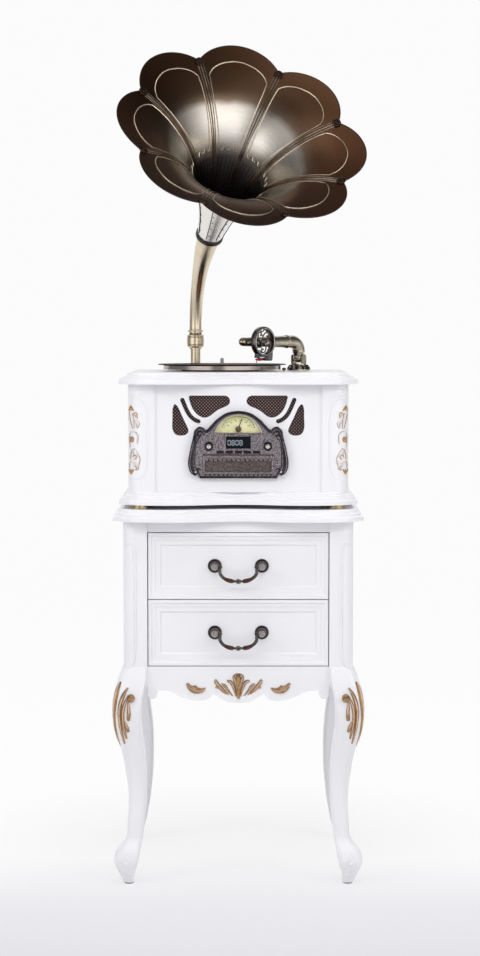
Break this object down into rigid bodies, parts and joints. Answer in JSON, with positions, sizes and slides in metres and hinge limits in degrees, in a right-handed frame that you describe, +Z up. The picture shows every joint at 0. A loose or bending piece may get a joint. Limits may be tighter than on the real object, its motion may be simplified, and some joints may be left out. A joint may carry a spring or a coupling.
{
  "type": "gramophone-style music centre",
  "caption": "Record player and radio with a petalled gramophone horn, standing on a matching white cabinet with drawers and carved, curved legs.",
  "frame": {"origin": "on the floor, under the middle of the cabinet", "axes": "+Z up, +X to the right as seen from the front, -Y to the front, where the drawers and the radio's fascia face"},
  "size_m": [0.4827, 0.5245, 1.6051],
  "materials": {
    "white_lacquer": "satin white lacquer on board",
    "pale_wood": "sanded pale plywood",
    "gilt": "gilded moulded trim",
    "rose_gilt": "pale rose-gold moulded trim",
    "dark_bronze": "dark antique bronze",
    "foot_brass": "polished brass",
    "glide_black": "black plastic",
    "grille_cloth": "dark brown woven mesh with copper threads",
    "speaker_black": "black",
    "pewter": "antique pewter with a hammered texture",
    "dial_cream": "pale cream, printed scale",
    "dial_glass": "clear",
    "pointer_bronze": "dark bronze",
    "display_black": "black gloss with a segment display",
    "knob_chrome": "polished",
    "button_black": "dark gloss",
    "tray_pewter": "antique pewter with a woven texture",
    "chassis_steel": "zinc plated",
    "board_green": "circuit board with components",
    "socket_black": "black plastic with plated sockets",
    "platter_metal": "turned and polished",
    "record_black": "black vinyl with a paper label",
    "bearing_brass": "turned brass",
    "spindle_steel": "polished steel",
    "motor_steel": "plated",
    "belt_rubber": "black rubber",
    "arm_nickel": "polished nickel over brass",
    "sound_box_metal": "dark nickel",
    "cartridge_plastic": "grey body with a red stylus guard",
    "horn_brass": "champagne brass",
    "horn_bronze": "brown lacquered brass, lighter where it is brushed",
    "rosette_bronze": "dark bronze",
    "ring_black": "black",
    "driver_black": "black"
  },
  "bodies": {
    "cabinet": {"cabinet_top": "white_lacquer", "front_legs": "white_lacquer", "rear_legs": "white_lacquer", "case_boards": "white_lacquer", "front_apron": "white_lacquer", "player_plinth": "white_lacquer", "player_front_panel": "white_lacquer", "player_side_and_back_panels": "white_lacquer", "player_corner_posts": "white_lacquer", "player_deck": "white_lacquer", "drawer_runners": "pale_wood", "cabinet_carvings": "gilt", "player_carvings": "rose_gilt", "player_feet": "foot_brass", "foot_glides": "glide_black", "grille_cloth": "grille_cloth", "speakers": "speaker_black", "radio_fascia": "pewter", "dial_plate": "dial_cream", "dial_glass": "dial_glass", "display_module": "display_black", "cd_mechanism": "chassis_steel", "amplifier_board": "board_green", "rear_connector_plate": "socket_black", "spindle_bearing": "bearing_brass", "turntable_motor": "motor_steel", "drive_belt": "belt_rubber", "arm_base": "arm_nickel", "horn_socket": "horn_brass", "horn_driver": "driver_black"},
    "upper_drawer": {"upper_drawer_front": "white_lacquer", "upper_drawer_box": "pale_wood", "upper_handle_posts": "dark_bronze"},
    "lower_drawer": {"lower_drawer_front": "white_lacquer", "lower_drawer_box": "pale_wood", "lower_handle_posts": "dark_bronze"},
    "upper_bail": {"upper_handle_bail": "dark_bronze"},
    "lower_bail": {"lower_handle_bail": "dark_bronze"},
    "volume_knob": {"volume_knob": "knob_chrome"},
    "tuning_knob": {"tuning_knob": "knob_chrome"},
    "dial_pointer": {"dial_pointer": "pointer_bronze"},
    "cd_tray": {"cd_tray": "tray_pewter"},
    "turntable": {"platter": "platter_metal", "platter_spindle": "spindle_steel", "record": "record_black"},
    "motor_pulley": {"motor_pulley": "bearing_brass"},
    "speed_lever": {"speed_lever": "bearing_brass"},
    "tonearm_pillar": {"arm_pillar": "arm_nickel"},
    "tonearm": {"arm_tube": "arm_nickel", "sound_box": "sound_box_metal", "cartridge": "cartridge_plastic"},
    "horn": {"horn_elbow": "horn_brass", "throat_ring": "ring_black", "horn_petals": "horn_bronze", "seam_rosettes": "rosette_bronze"},
    "function_button_1": {"function_button_1": "button_black"},
    "function_button_2": {"function_button_2": "button_black"},
    "function_button_3": {"function_button_3": "button_black"},
    "function_button_4": {"function_button_4": "button_black"},
    "function_button_5": {"function_button_5": "button_black"}
  },
  "joints": [
    {"name": "upper_drawer_slide", "type": "slide", "parent": "cabinet", "child": "upper_drawer", "axis": [0, -1, 0], "range_m": [0, 0.24]},
    {"name": "upper_bail_swing", "type": "hinge", "parent": "upper_drawer", "child": "upper_bail", "pos_m": [0, -0.201, 0.60823], "axis": [-1, 0, 0], "range_deg": [-15, 85]},
    {"name": "lower_drawer_slide", "type": "slide", "parent": "cabinet", "child": "lower_drawer", "axis": [0, -1, 0], "range_m": [0, 0.24]},
    {"name": "lower_bail_swing", "type": "hinge", "parent": "lower_drawer", "child": "lower_bail", "pos_m": [0, -0.201, 0.48128], "axis": [-1, 0, 0], "range_deg": [-15, 85]},
    {"name": "volume_knob_turn", "type": "hinge", "parent": "cabinet", "child": "volume_knob", "pos_m": [-0.0555, -0.18, 0.8345], "axis": [0, 1, 0], "range_deg": [-150, 150]},
    {"name": "tuning_knob_turn", "type": "hinge", "parent": "cabinet", "child": "tuning_knob", "pos_m": [0.0555, -0.18, 0.8345], "axis": [0, 1, 0], "range_deg": [-900, 540]},
    {"name": "dial_pointer_turn", "type": "hinge", "parent": "cabinet", "child": "dial_pointer", "pos_m": [0, -0.172, 0.8668], "axis": [0, 1, 0], "range_deg": [-85, 50]},
    {"name": "function_button_1_press", "type": "slide", "parent": "cabinet", "child": "function_button_1", "axis": [0, 1, 0], "range_m": [0, 0.0012], "stiffness_N_per_m": 300, "springref_m": -0.0005},
    {"name": "function_button_2_press", "type": "slide", "parent": "cabinet", "child": "function_button_2", "axis": [0, 1, 0], "range_m": [0, 0.0012], "stiffness_N_per_m": 300, "springref_m": -0.0005},
    {"name": "function_button_3_press", "type": "slide", "parent": "cabinet", "child": "function_button_3", "axis": [0, 1, 0], "range_m": [0, 0.0012], "stiffness_N_per_m": 300, "springref_m": -0.0005},
    {"name": "function_button_4_press", "type": "slide", "parent": "cabinet", "child": "function_button_4", "axis": [0, 1, 0], "range_m": [0, 0.0012], "stiffness_N_per_m": 300, "springref_m": -0.0005},
    {"name": "function_button_5_press", "type": "slide", "parent": "cabinet", "child": "function_button_5", "axis": [0, 1, 0], "range_m": [0, 0.0012], "stiffness_N_per_m": 300, "springref_m": -0.0005},
    {"name": "cd_tray_slide", "type": "slide", "parent": "cabinet", "child": "cd_tray", "axis": [0, -1, 0], "range_m": [0, 0.11]},
    {"name": "platter_spin", "type": "hinge", "parent": "cabinet", "child": "turntable", "pos_m": [-0.032, -0.01, 0.9768], "axis": [0, 0, 1], "continuous": true},
    {"name": "motor_pulley_spin", "type": "hinge", "parent": "cabinet", "child": "motor_pulley", "pos_m": [-0.10301, 0.031, 0.9768], "axis": [0, 0, 1], "continuous": true},
    {"name": "speed_lever_slide", "type": "slide", "parent": "cabinet", "child": "speed_lever", "axis": [0, 1, 0], "range_m": [-0.008, 0.008]},
    {"name": "tonearm_swing", "type": "hinge", "parent": "cabinet", "child": "tonearm_pillar", "pos_m": [0.12, 0.06, 0.9998], "axis": [0, 0, 1], "range_deg": [-11, 41]},
    {"name": "tonearm_lift", "type": "hinge", "parent": "tonearm_pillar", "child": "tonearm", "pos_m": [0.12, 0.06, 0.9998], "axis": [-0.7071, 0.7071, 0], "range_deg": [0, 18]},
    {"name": "horn_swivel", "type": "hinge", "parent": "cabinet", "child": "horn", "pos_m": [-0.087, 0.14, 1.0158], "axis": [0, 0, 1], "range_deg": [-60, 60]}
  ],
  "couplings": [
    {"joint": "motor_pulley_spin", "follows": "platter_spin", "ratio": 7.1538},
    {"joint": "dial_pointer_turn", "follows": "tuning_knob_turn", "ratio": 0.09}
  ]
}
